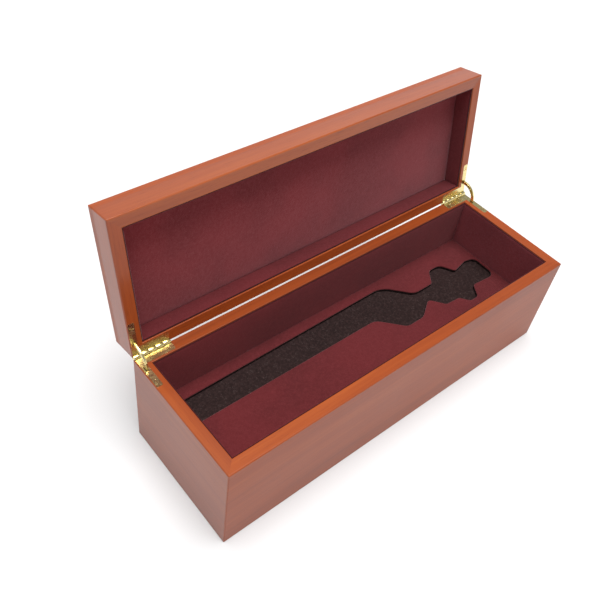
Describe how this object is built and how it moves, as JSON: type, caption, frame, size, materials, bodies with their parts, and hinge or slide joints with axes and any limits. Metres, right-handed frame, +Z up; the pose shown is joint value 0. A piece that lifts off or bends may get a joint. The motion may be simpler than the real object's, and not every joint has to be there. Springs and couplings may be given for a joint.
{
  "type": "hinged presentation case",
  "caption": "long lacquered wooden presentation case with a shallow hinged lid, velvet linings, a shaped insert recess and brass quadrant hinges",
  "frame": {"origin": "middle of the base's rest face", "axes": "+X along the length, +Y to the hinged back, +Z up"},
  "size_m": [0.35, 0.1559, 0.2013],
  "materials": {
    "lacquered_wood": "satin red-brown lacquer over fine straight grain",
    "velvet": "short-pile burgundy velvet",
    "foam": "dark speckled foam",
    "hinge_brass": "polished and lacquered",
    "screw_brass": "polished"
  },
  "bodies": {
    "base": {"base_front_panel": "lacquered_wood", "base_back_panel": "lacquered_wood", "base_left_end": "lacquered_wood", "base_right_end": "lacquered_wood", "base_floor_panel": "lacquered_wood", "base_front_lining": "velvet", "base_back_lining": "velvet", "base_left_lining": "velvet", "base_right_lining": "velvet", "insert_foam": "foam", "insert_board": "velvet", "left_base_leaf": "hinge_brass", "left_hinge_pin": "screw_brass", "left_base_screws": "screw_brass", "right_base_leaf": "hinge_brass", "right_hinge_pin": "screw_brass", "right_base_screws": "screw_brass"},
    "lid": {"lid_front_rail": "lacquered_wood", "lid_back_rail": "lacquered_wood", "lid_left_rail": "lacquered_wood", "lid_right_rail": "lacquered_wood", "lid_top_panel": "lacquered_wood", "lid_front_lining": "velvet", "lid_back_lining": "velvet", "lid_left_lining": "velvet", "lid_right_lining": "velvet", "lid_pad": "velvet", "left_lid_leaf": "hinge_brass", "left_lid_screws": "screw_brass", "right_lid_leaf": "hinge_brass", "right_lid_screws": "screw_brass"},
    "left_arm": {"left_quadrant_arm": "hinge_brass"},
    "right_arm": {"right_quadrant_arm": "hinge_brass"}
  },
  "joints": [
    {"name": "lid_hinge", "type": "hinge", "parent": "base", "child": "lid", "pos_m": [0, 0.0566, 0.09015], "axis": [1, 0, 0], "range_deg": [0, 100]},
    {"name": "left_arm_swing", "type": "hinge", "parent": "base", "child": "left_arm", "pos_m": [0, 0.0566, 0.09015], "axis": [1, 0, 0], "range_deg": [0, 50]},
    {"name": "right_arm_swing", "type": "hinge", "parent": "base", "child": "right_arm", "pos_m": [0, 0.0566, 0.09015], "axis": [1, 0, 0], "range_deg": [0, 50]}
  ],
  "couplings": [
    {"joint": "left_arm_swing", "follows": "lid_hinge", "ratio": 0.5},
    {"joint": "right_arm_swing", "follows": "lid_hinge", "ratio": 0.5}
  ]
}
